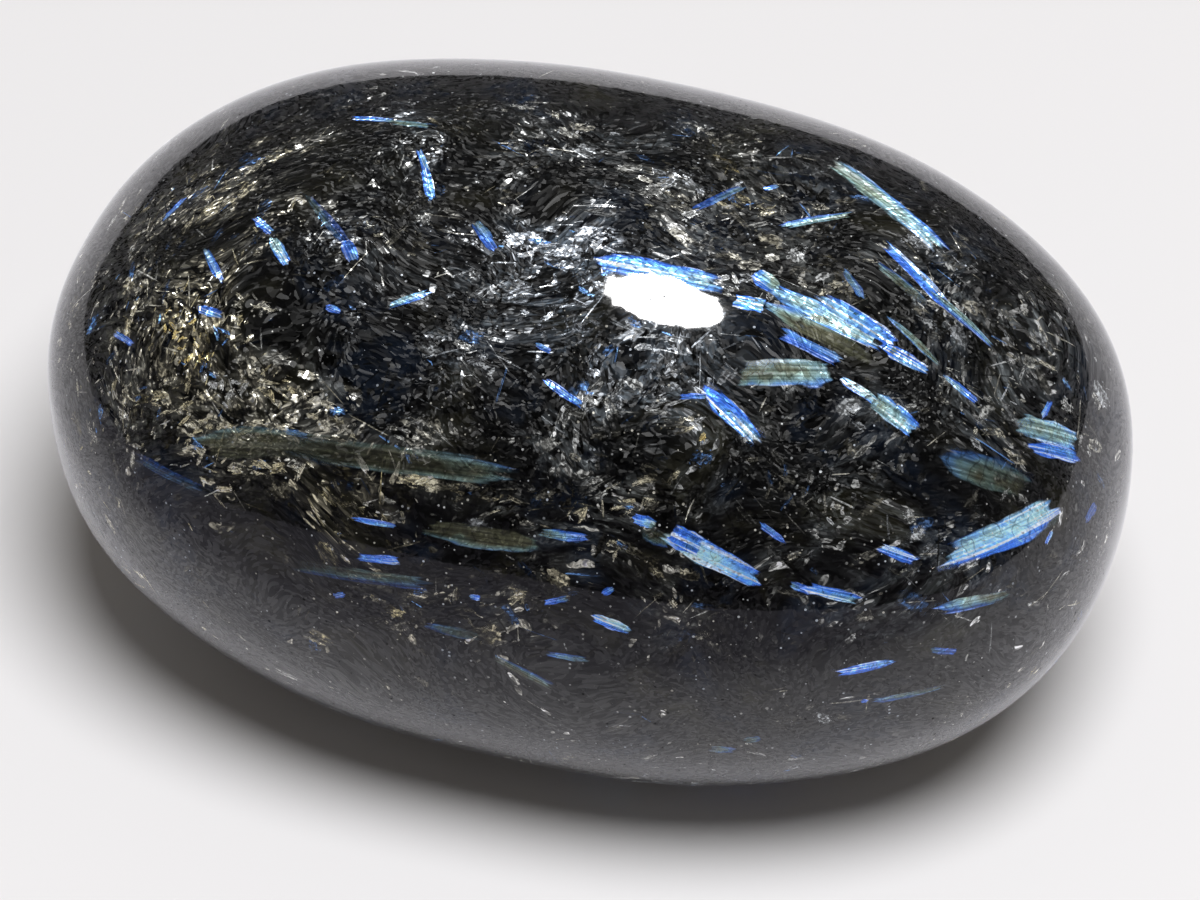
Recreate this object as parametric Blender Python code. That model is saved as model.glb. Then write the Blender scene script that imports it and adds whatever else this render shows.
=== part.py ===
# A polished palm stone of nuummite: one solid pebble, longer than it is wide, and wider than it is tall.
# It lies along X and rests on a small flat on its belly. The origin is under its middle, on the surface
# that it rests on, with +Z up. Lengths are in metres.

import math

import bmesh
import bpy
from mathutils import Vector

# The pebble's size
LENGTH = 0.0450
WIDTH = 0.0296
CROWN_HEIGHT = 0.01175  # from the widest level up to the crown, at mid length
BELLY_DEPTH = 0.01270  # from the widest level down to where the belly would round off
FLAT_DEPTH = 0.00030  # what resting and polishing took off the belly

# How full its curves are: 2 is an ellipse, and more is squarer in the shoulders
PLAN_FULLNESS = 2.39
CROWN_FULLNESS = 2.22
BELLY_FULLNESS = 2.45

# What keeps it from being a regular egg
WIDTH_TAPER = -0.027  # the +X end is this share narrower than mid length
CROWN_RISE = 0.114  # and its crown this share higher
BEND = 0.00027  # both ends lie this far towards +Y of the middle
BLUNTNESS = 0.020  # how far the widest place is from mid length, as a share of half the length
SWELL_HEIGHT = 0.00003  # soft swells that hand polishing leaves
SWELL_LENGTH = 0.0130  # from one swell to the next

FACES_ALONG_AN_EDGE = 26  # of the cube that the pebble is rounded from

STONE_COLOUR = (0.011, 0.012, 0.014, 1.0)
STONE_ROUGHNESS = 0.08
STONE_IOR = 1.64


def clear_scene():
    for obj in list(bpy.data.objects):
        bpy.data.objects.remove(obj, do_unlink=True)


def polished_stone():
    material = bpy.data.materials.new("polished_nuummite")
    material.use_nodes = True
    shader = material.node_tree.nodes["Principled BSDF"]
    shader.inputs["Base Color"].default_value = STONE_COLOUR
    shader.inputs["Roughness"].default_value = STONE_ROUGHNESS
    shader.inputs["Metallic"].default_value = 0.0
    shader.inputs["IOR"].default_value = STONE_IOR
    material.diffuse_color = STONE_COLOUR
    return material


def even_direction(corner):
    """The direction of a point of a cube of side 2, spread so that the faces come out near one size."""
    spread = Vector(math.tan(c * math.pi / 4) for c in corner)
    return spread.normalized()


def onto_unit_pebble(direction):
    """Moves a direction out to where the full, rounded form has its surface, when each half axis is 1."""
    fullness = CROWN_FULLNESS if direction.z > 0 else BELLY_FULLNESS
    across = abs(direction.x) ** PLAN_FULLNESS + abs(direction.y) ** PLAN_FULLNESS
    around = across ** (1 / PLAN_FULLNESS)
    reach = (around**fullness + abs(direction.z) ** fullness) ** (1 / fullness)
    return direction / reach


def swell(point):
    """How far the surface stands out at a point, from three slow waves that run different ways."""
    turn = 2 * math.pi / SWELL_LENGTH
    waves = math.sin(turn * (point.x + 0.4 * point.y) + 0.6)
    waves += math.sin(turn * (0.7 * point.y - 0.5 * point.x + 0.8 * point.z) + 2.1)
    waves += math.sin(turn * (0.9 * point.z + 0.3 * point.x) + 4.0)
    return SWELL_HEIGHT * waves


def pebble_point(corner):
    """Where a point of the cube lies on the pebble, measured from the middle of its widest level."""
    unit = onto_unit_pebble(even_direction(corner))
    along = unit.x - BLUNTNESS * (1 - unit.x**2)
    half_width = WIDTH / 2 * (1 + WIDTH_TAPER * unit.x)
    half_height = CROWN_HEIGHT * (1 + CROWN_RISE * unit.x) if unit.z > 0 else BELLY_DEPTH
    point = Vector(
        (
            along * LENGTH / 2,
            unit.y * half_width + BEND * (unit.x**2 - 0.4),
            unit.z * half_height,
        )
    )
    return point + unit.normalized() * swell(point)


def cut_resting_flat(bm):
    """Takes the lowest part of the belly off along a level plane and closes the cut with one flat face."""
    lowest = min(v.co.z for v in bm.verts)
    cut = bmesh.ops.bisect_plane(
        bm,
        geom=bm.verts[:] + bm.edges[:] + bm.faces[:],
        dist=1e-7,
        plane_co=(0, 0, lowest + FLAT_DEPTH),
        plane_no=(0, 0, -1),
        clear_outer=True,
    )
    rim = [e for e in cut["geom_cut"] if isinstance(e, bmesh.types.BMEdge)]
    bmesh.ops.contextual_create(bm, geom=rim)


def set_on_origin(bm):
    """Brings the middle of the pebble's box over the origin, with the resting flat at the height of zero."""
    low = Vector(min(v.co[i] for v in bm.verts) for i in range(3))
    high = Vector(max(v.co[i] for v in bm.verts) for i in range(3))
    middle = (low + high) / 2
    bmesh.ops.translate(bm, verts=bm.verts, vec=(-middle.x, -middle.y, -low.z))


def nuummite_stone():
    bm = bmesh.new()
    bmesh.ops.create_cube(bm, size=2)
    bmesh.ops.subdivide_edges(bm, edges=bm.edges[:], cuts=FACES_ALONG_AN_EDGE - 1, use_grid_fill=True)
    for vertex in bm.verts:
        vertex.co = pebble_point(vertex.co)
    cut_resting_flat(bm)
    set_on_origin(bm)
    bmesh.ops.recalc_face_normals(bm, faces=bm.faces)
    mesh = bpy.data.meshes.new("nuummite_stone")
    bm.to_mesh(mesh)
    bm.free()
    mesh.shade_smooth()
    mesh.materials.append(polished_stone())
    stone = bpy.data.objects.new("nuummite_stone", mesh)
    bpy.context.scene.collection.objects.link(stone)
    return stone


clear_scene()
nuummite_stone()
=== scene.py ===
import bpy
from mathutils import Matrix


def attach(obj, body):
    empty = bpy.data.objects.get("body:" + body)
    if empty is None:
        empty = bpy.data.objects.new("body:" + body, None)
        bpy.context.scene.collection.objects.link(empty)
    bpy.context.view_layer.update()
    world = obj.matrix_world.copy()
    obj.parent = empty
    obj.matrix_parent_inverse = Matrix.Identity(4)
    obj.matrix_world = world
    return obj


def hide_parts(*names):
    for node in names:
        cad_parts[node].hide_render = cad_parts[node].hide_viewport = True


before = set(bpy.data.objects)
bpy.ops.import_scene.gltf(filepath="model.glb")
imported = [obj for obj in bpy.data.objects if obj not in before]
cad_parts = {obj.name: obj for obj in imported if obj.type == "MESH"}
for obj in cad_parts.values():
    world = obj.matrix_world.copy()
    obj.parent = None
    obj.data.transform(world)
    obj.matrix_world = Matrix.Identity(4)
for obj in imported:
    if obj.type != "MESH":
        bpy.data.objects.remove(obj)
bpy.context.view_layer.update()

import math
import random

import bpy
import numpy as np
from mathutils import Vector
from mathutils.bvhtree import BVHTree
from mathutils.kdtree import KDTree

millimetre = 0.001


def hexToLinear(hexCode):
    channels = [int(hexCode[i : i + 2], 16) / 255 for i in (1, 3, 5)]
    return [c / 12.92 if c <= 0.04045 else ((c + 0.055) / 1.055) ** 2.4 for c in channels] + [1.0]


def addNode(tree, kind, links=None, **settings):
    # links: socket name or number -> a value, a socket, or a node whose first output is meant
    node = tree.nodes.new("ShaderNode" + kind)
    for name, value in settings.items():
        setattr(node, name, value)
    for name, value in (links or {}).items():
        if isinstance(value, bpy.types.Node):
            value = value.outputs[0]
        if isinstance(value, bpy.types.NodeSocket):
            tree.links.new(value, node.inputs[name])
        else:
            node.inputs[name].default_value = value
    return node


# Camera, looking down on the stone from the front right
print("camera")
cameraView = {
    "azimuth": 17.8,  # degrees round from the front
    "elevation": 45.85,
    "distance": 0.27,
    "lens": 197.0,
    "sensor": 36.0,
    "nearClip": 0.01,
    "middleHeight": 0.0124,  # of the stone's widest level
    "aimRight": 0.00054,  # how far the middle of the picture is from the stone's middle
    "aimUp": -0.00178,
    "pictureWidth": 1200,
    "pictureHeight": 900,
}
turn = math.radians(cameraView["azimuth"])
rise = math.radians(cameraView["elevation"])
towardsCamera = Vector(
    (math.sin(turn) * math.cos(rise), -math.cos(turn) * math.cos(rise), math.sin(rise))
)
pictureRight = Vector((math.cos(turn), math.sin(turn), 0))
pictureUp = towardsCamera.cross(pictureRight)
aim = Vector((0, 0, cameraView["middleHeight"]))
aim += pictureRight * cameraView["aimRight"] + pictureUp * cameraView["aimUp"]
cameraData = bpy.data.cameras.new("camera")
cameraData.lens = cameraView["lens"]
cameraData.sensor_width = cameraView["sensor"]
cameraData.clip_start = cameraView["nearClip"]
camera = bpy.data.objects.new("camera", cameraData)
camera.location = aim + towardsCamera * cameraView["distance"]
camera.rotation_euler = towardsCamera.to_track_quat("Z", "Y").to_euler()
bpy.context.scene.collection.objects.link(camera)
bpy.context.scene.camera = camera
bpy.context.scene.view_settings.view_transform = "Standard"


# Floor and light: a pale sheet under a high soft light, in a dark room. The polish mirrors only
# the near part of the sheet and one small soft box behind the stone.
print("floor and light")
studio = {
    "floorColour": "#eae9eb",
    "mirroredColour": "#f1f0f6",  # the sheet as the polish shows it, near the stone and at its sides
    "dimmedColour": "#9f9daa",  # and in front of the stone, a painted shade that only the polish shows
    "dimmedFloor": (0.018, 0.035),  # where the dimming starts and ends, in metres from the middle
    "dimmedTurn": 25.0,  # degrees to the left of the camera's side
    "floorSize": 3.0,
    "mirroredFloor": 0.20,  # metres from the stone to where its polish stops mirroring the sheet
    "unmirrored": (0.004, 0.004, 0.004, 1),  # what it shows beyond that
    "backgroundColour": "#eeecee",
    "fill": 0.18,  # soft light from all round, as a share of the background
    "fillColour": "#f4ece2",
    "lightDistance": 0.60,
}
lights = {
    # degrees above the horizon and round from +X, size across and upwards, power
    "high soft light": {"rise": 74.0, "turn": 316.0, "size": (0.30, 0.30), "power": 3.65},
    "small soft box": {"rise": 66.0, "turn": 110.0, "size": (0.136, 0.138), "power": 4.5},
}
bpy.ops.object.select_all(action="DESELECT")
bpy.ops.mesh.primitive_plane_add(size=studio["floorSize"])
floor = bpy.context.object
floor.name = "floor"
paper = bpy.data.materials.new("matt white paper")  # even and pale, with no gloss of its own
paper.use_nodes = True
paper.node_tree.nodes.clear()
leftwards = math.radians(studio["dimmedTurn"])
dimWay = Vector((towardsCamera.x, towardsCamera.y, 0)).normalized() * math.cos(leftwards)
dimWay -= pictureRight * math.sin(leftwards)
place = addNode(paper.node_tree, "TexCoord")
away = addNode(paper.node_tree, "VectorMath", {0: place.outputs["Object"]}, operation="LENGTH")
beyond = addNode(
    paper.node_tree,
    "Math",
    {0: away.outputs["Value"], 1: studio["mirroredFloor"]},
    operation="GREATER_THAN",
)
path = addNode(paper.node_tree, "LightPath")
unseen = addNode(
    paper.node_tree, "Math", {0: beyond, 1: path.outputs["Is Glossy Ray"]}, operation="MULTIPLY"
)
# painted shade in the gloss: the floor in front of the stone is dimmer than near it and at its sides
front = addNode(
    paper.node_tree,
    "VectorMath",
    {0: place.outputs["Object"], 1: tuple(dimWay)},
    operation="DOT_PRODUCT",
)
dimmed = addNode(
    paper.node_tree,
    "MapRange",
    {
        "Value": front.outputs["Value"],
        "From Min": studio["dimmedFloor"][0],
        "From Max": studio["dimmedFloor"][1],
    },
    interpolation_type="SMOOTHSTEP",
)
mirrored = addNode(
    paper.node_tree,
    "MixRGB",
    {
        0: dimmed,
        1: hexToLinear(studio["mirroredColour"]),
        2: hexToLinear(studio["dimmedColour"]),
    },
)
sheetColour = addNode(
    paper.node_tree,
    "MixRGB",
    {0: path.outputs["Is Glossy Ray"], 1: hexToLinear(studio["floorColour"]), 2: mirrored},
)
sheet = addNode(paper.node_tree, "BsdfDiffuse", {"Color": sheetColour})
dark = addNode(paper.node_tree, "BsdfDiffuse", {"Color": studio["unmirrored"]})
seen = addNode(paper.node_tree, "MixShader", {0: unseen, 1: sheet, 2: dark})
addNode(paper.node_tree, "OutputMaterial", {"Surface": seen})
floor.data.materials.append(paper)

world = bpy.data.worlds.new("studio")
bpy.context.scene.world = world
world.use_nodes = True
world.node_tree.nodes.clear()
path = addNode(world.node_tree, "LightPath")
strength = addNode(
    world.node_tree,
    "MapRange",
    {"Value": path.outputs["Is Camera Ray"], "To Min": studio["fill"], "To Max": 1.0},
)
skyColour = addNode(
    world.node_tree,
    "MixRGB",
    {
        0: path.outputs["Is Camera Ray"],
        1: hexToLinear(studio["fillColour"]),
        2: hexToLinear(studio["backgroundColour"]),
    },
)
sky = addNode(world.node_tree, "Background", {"Color": skyColour, "Strength": strength})
addNode(world.node_tree, "OutputWorld", {"Surface": sky})
world.cycles_visibility.glossy = False

for name, values in lights.items():
    rise = math.radians(values["rise"])
    turn = math.radians(values["turn"])
    towardsLight = Vector(
        (math.cos(rise) * math.cos(turn), math.cos(rise) * math.sin(turn), math.sin(rise))
    )
    lightData = bpy.data.lights.new(name, "AREA")
    lightData.shape = "ELLIPSE"
    lightData.size, lightData.size_y = values["size"]
    lightData.energy = values["power"]
    light = bpy.data.objects.new(name, lightData)
    light.location = towardsLight * studio["lightDistance"]
    light.rotation_mode = "QUATERNION"
    light.rotation_quaternion = towardsLight.to_track_quat("Z", "Y")
    isMirrored = name == "small soft box"
    light.visible_glossy = isMirrored
    light.visible_diffuse = not isMirrored
    bpy.context.scene.collection.objects.link(light)


# The stone's surface: the solid's own shape, with its facets smoothed out
print("stone")
stoneShape = {
    "name": "polished_nuummite",
    "mergeDistance": 1e-6,
    "quadBend": 40,  # degrees by which two triangles may differ and still become one face
    "quadSkew": 60,
    "smoothings": 2,  # each makes four faces of one
}
bpy.ops.object.select_all(action="DESELECT")
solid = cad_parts["nuummite_stone"]
stone = bpy.data.objects.new(stoneShape["name"], solid.data.copy())
bpy.context.scene.collection.objects.link(stone)
bpy.context.view_layer.objects.active = stone
stone.select_set(True)
bpy.ops.object.mode_set(mode="EDIT")
bpy.ops.mesh.select_all(action="SELECT")
bpy.ops.mesh.remove_doubles(threshold=stoneShape["mergeDistance"])
bpy.ops.mesh.tris_convert_to_quads(
    face_threshold=math.radians(stoneShape["quadBend"]),
    shape_threshold=math.radians(stoneShape["quadSkew"]),
    topology_influence=2.0,
)
bpy.ops.object.mode_set(mode="OBJECT")
smoothing = stone.modifiers.new("smoothing", "SUBSURF")
smoothing.levels = stoneShape["smoothings"]
smoothing.render_levels = stoneShape["smoothings"]
bpy.ops.object.modifier_apply(modifier=smoothing.name)
bpy.ops.object.shade_smooth()
stoneMesh = stone.data


def meshValues(items, name, width=1, kind=float):
    values = np.empty(len(items) * width, dtype=kind)
    items.foreach_get(name, values)
    return values.reshape(-1, width).squeeze()


def keepOnMesh(name, domain, values):
    # as an attribute, which the material reads
    attribute = stoneMesh.attributes.new(name, "FLOAT_VECTOR", domain)
    attribute.data.foreach_set("vector", values.astype(np.float32).ravel())


corners = meshValues(stoneMesh.vertices, "co", 3)
faceMiddles = meshValues(stoneMesh.polygons, "center", 3)
faceNormals = meshValues(stoneMesh.polygons, "normal", 3)
faceAreas = meshValues(stoneMesh.polygons, "area")
surface = BVHTree.FromPolygons(corners.tolist(), [list(p.vertices) for p in stoneMesh.polygons])
faceTree = KDTree(len(faceMiddles))
for i, middle in enumerate(faceMiddles):
    faceTree.insert(middle, i)
faceTree.balance()


def seenAt(x, y):
    # where the camera's ray through a pixel of the picture meets the stone
    pixelsPerTurn = cameraView["lens"] / cameraView["sensor"] * cameraView["pictureWidth"]
    right = (x - cameraView["pictureWidth"] / 2) / pixelsPerTurn
    down = (y - cameraView["pictureHeight"] / 2) / pixelsPerTurn
    ray = pictureRight * right - pictureUp * down - towardsCamera
    point, normal, face, reach = surface.ray_cast(camera.location, ray.normalized())
    return point, normal


def alongSurface(direction, normal):
    return (direction - normal * direction.dot(normal)).normalized()


def turned(along, normal, angle):
    return along * math.cos(angle) + normal.cross(along) * math.sin(angle)


leastFacing = 0.25  # so that directions don't slant too far where the stone turns away


def grainAt(normal, angle):
    # the direction along the surface that the picture shows at this angle, in degrees
    angle = math.radians(angle)
    shown = pictureRight * math.cos(angle) + pictureUp * math.sin(angle)
    facing = max(leastFacing, towardsCamera.dot(normal))
    return alongSurface(shown - towardsCamera * shown.dot(normal) / facing, normal)


# Marks: each is a flat crystal that the surface cuts through, with a length, a width and a direction
def newMark(point, normal, along, length, width, seed, look, bow=0.0):
    across = normal.cross(along)
    return (*point, *normal, *along, *across, length / 2, width / 2, bow, seed, *look)


draw = random.Random(41)
seedLimit = 50  # each mark's own pattern starts from a number below this


def hiddenPoint(limit):
    # somewhere on the sides, back or underside, which face the camera by less than the limit
    while True:
        middle = faceMiddles[draw.randrange(len(faceMiddles))]
        point, normal, face, reach = surface.find_nearest(middle)
        if normal.dot(towardsCamera) < limit:
            # the grain runs along the stone, give or take
            grain = Vector((1, draw.uniform(-0.5, 0.5), draw.uniform(-0.4, 0.4)))
            return point, normal, alongSurface(grain, normal)


def mostlySmall(source, least, more, rarity):
    # a random size from the least up, where the largest are rare
    return least + more * source.random() ** rarity


# Blades of anthophyllite and gedrite, which flash blue along their edges and grey green in the middle
print("blades")
blades = {
    "layers": 3,
    # first end and last end in the picture, width in mm, share of blue, brightness
    "placed": [
        (213, 340, 190, 394, 0.55, 0.0, 0.0),
        (576, 163, 612, 176, 0.90, 0.0, 0.0),
        (306, 195, 352, 250, 0.40, 0.65, 0.15),
        (196, 441, 350, 446, 1.15, -0.35, 0.14),
        (300, 447, 505, 474, 0.95, -0.15, 0.13),
        (429, 530, 533, 545, 0.90, -0.1, 0.18),
        (644, 530, 668, 544, 0.60, 0.0, 0.12),
        (946, 458, 1029, 486, 1.30, 0.15, 0.14),
        (298, 565, 421, 584, 0.60, 0.3, 0.11),
        (138, 458, 199, 488, 0.45, 0.7, 0.09),
        (428, 626, 479, 637, 0.45, 0.3, 0.12),
        (768, 305, 871, 360, 0.90, -0.15, 0.30),
        (781, 333, 836, 360, 0.55, 0.85, 0.45),
        (768, 288, 884, 347, 0.85, 0.42, 0.80),
        (801, 312, 875, 346, 0.40, 0.32, 1.00),
        (824, 299, 892, 341, 0.80, 0.62, 1.00),
        (882, 346, 927, 371, 0.62, 0.80, 1.10),
        (754, 273, 777, 289, 0.72, 0.50, 0.75),
        (735, 301, 764, 306, 0.66, 0.62, 1.40),
        (845, 270, 863, 298, 0.36, 0.5, 0.26),
        (880, 265, 925, 303, 0.45, 0.1, 0.20),
        (890, 319, 937, 363, 0.36, 0.2, 0.30),
        (737, 374, 827, 374, 1.05, 0.10, 0.38),
        (842, 379, 880, 405, 0.40, 0.45, 1.00),
        (875, 400, 914, 430, 0.75, 0.35, 0.75),
        (946, 377, 977, 402, 0.34, 0.7, 0.70),
        (705, 388, 759, 442, 0.72, 0.75, 1.05),
        (680, 397, 706, 396, 0.22, 0.9, 0.50),
        (837, 165, 937, 245, 1.00, 0.25, 0.75),
        (884, 243, 948, 308, 0.58, 0.85, 0.90),
        (935, 295, 990, 344, 0.42, 0.4, 0.40),
        (783, 226, 851, 214, 0.36, 0.35, 0.60),
        (697, 208, 740, 188, 0.36, 0.7, 0.28),
        (764, 189, 778, 186, 0.22, 0.8, 0.70),
        (1021, 425, 1074, 440, 0.90, 0.25, 0.60),
        (1030, 446, 1078, 458, 0.60, 0.8, 0.75),
        (1051, 402, 1042, 417, 0.25, 0.9, 0.70),
        (949, 558, 1054, 510, 1.15, 0.50, 1.00),
        (1046, 544, 1052, 531, 0.20, 0.9, 0.70),
        (1086, 520, 1096, 505, 0.40, 1.0, 0.30),
        (880, 548, 915, 560, 0.42, 0.8, 0.80),
        (668, 535, 754, 578, 0.95, 0.42, 0.95),
        (671, 534, 700, 548, 0.85, 0.9, 0.90),
        (634, 518, 654, 524, 0.40, 0.7, 0.70),
        (759, 523, 784, 542, 0.24, 0.9, 0.40),
        (791, 584, 812, 592, 0.30, 0.9, 0.45),
        (808, 588, 856, 599, 0.48, 0.7, 0.90),
        (937, 609, 1006, 594, 0.55, 0.3, 0.35),
        (836, 673, 892, 662, 0.46, 0.85, 0.90),
        (933, 650, 956, 652, 0.30, 0.9, 0.35),
        (875, 701, 937, 688, 0.32, 0.4, 0.25),
        (861, 701, 868, 701, 0.20, 1.0, 0.45),
        (593, 617, 629, 631, 0.50, 0.6, 0.95),
        (500, 660, 553, 687, 0.42, 0.2, 0.22),
        (548, 654, 587, 660, 0.30, 0.5, 0.28),
        (470, 597, 480, 598, 0.26, 0.9, 0.60),
        (545, 603, 568, 598, 0.26, 0.9, 0.45),
        (602, 594, 614, 588, 0.26, 0.9, 0.50),
        (710, 749, 733, 750, 0.50, 0.3, 0.22),
        (744, 741, 760, 738, 0.40, 0.3, 0.22),
        (360, 557, 398, 561, 0.34, 0.9, 0.75),
        (356, 519, 394, 526, 0.24, 0.8, 0.65),
        (334, 596, 344, 594, 0.24, 0.9, 0.45),
        (540, 533, 586, 538, 0.40, 0.5, 0.34),
        (354, 118, 395, 121, 0.32, 0.8, 0.75),
        (393, 122, 428, 126, 0.30, 0.2, 0.40),
        (419, 151, 427, 172, 0.26, 0.6, 0.80),
        (425, 168, 432, 199, 0.40, 0.7, 0.95),
        (254, 218, 272, 233, 0.34, 0.9, 0.90),
        (272, 239, 287, 264, 0.45, 0.4, 0.85),
        (205, 249, 222, 281, 0.36, 0.7, 0.65),
        (165, 218, 184, 199, 0.32, 0.8, 0.55),
        (199, 308, 222, 316, 0.40, 0.8, 0.80),
        (115, 333, 132, 344, 0.30, 0.9, 0.50),
        (345, 240, 355, 262, 0.50, 0.8, 0.50),
        (390, 306, 429, 292, 0.34, 0.5, 0.60),
        (475, 222, 494, 249, 0.50, 0.7, 0.35),
        (326, 306, 340, 312, 0.30, 0.9, 0.50),
        (536, 344, 551, 352, 0.22, 0.8, 0.45),
        (547, 381, 582, 406, 0.30, 0.9, 0.85),
        (606, 262, 714, 284, 1.00, 0.60, 0.95),
    ],
    "scattered": 190,  # where the picture doesn't show the stone
    "hiddenBelow": -0.15,  # that is, where it faces the camera by less than this
    "turn": 28,  # degrees from the grain
    "length": (0.5, 5.0, 2.6),  # in mm: the least, how much more at most, how rare the long ones are
    "width": (0.14, 0.40),  # as a share of the length
    "widest": 1.2,
    "blue": (0.1, 1.0),
    "light": (0.12, 0.85, 1.4),
    "underside": -0.2,  # the surface's slant from which the blades are dimmer
    "undersideLight": 0.3,  # or else they would tint the floor blue
}
bladeMarks = []
for x0, y0, x1, y1, width, blue, bright in blades["placed"]:
    first = seenAt(x0, y0)[0]
    last = seenAt(x1, y1)[0]
    point, normal, face, reach = surface.find_nearest((first + last) / 2)
    along = alongSurface(last - first, normal)
    size = ((last - first).length, width * millimetre)
    seed = draw.uniform(0, seedLimit)
    bladeMarks.append(newMark(point, normal, along, *size, seed, (blue, bright, 0.0)))
for i in range(blades["scattered"]):
    point, normal, grain = hiddenPoint(blades["hiddenBelow"])
    along = turned(grain, normal, math.radians(draw.gauss(0, blades["turn"])))
    length = mostlySmall(draw, *blades["length"])
    width = min(blades["widest"], length * draw.uniform(*blades["width"]))
    blue = draw.uniform(*blades["blue"])
    bright = mostlySmall(draw, *blades["light"])
    if normal.z < blades["underside"]:
        bright *= blades["undersideLight"]
    size = (length * millimetre, width * millimetre)
    seed = draw.uniform(0, seedLimit)
    bladeMarks.append(newMark(point, normal, along, *size, seed, (blue, bright, 0.0)))
print(len(bladeMarks), "blades")


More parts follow.
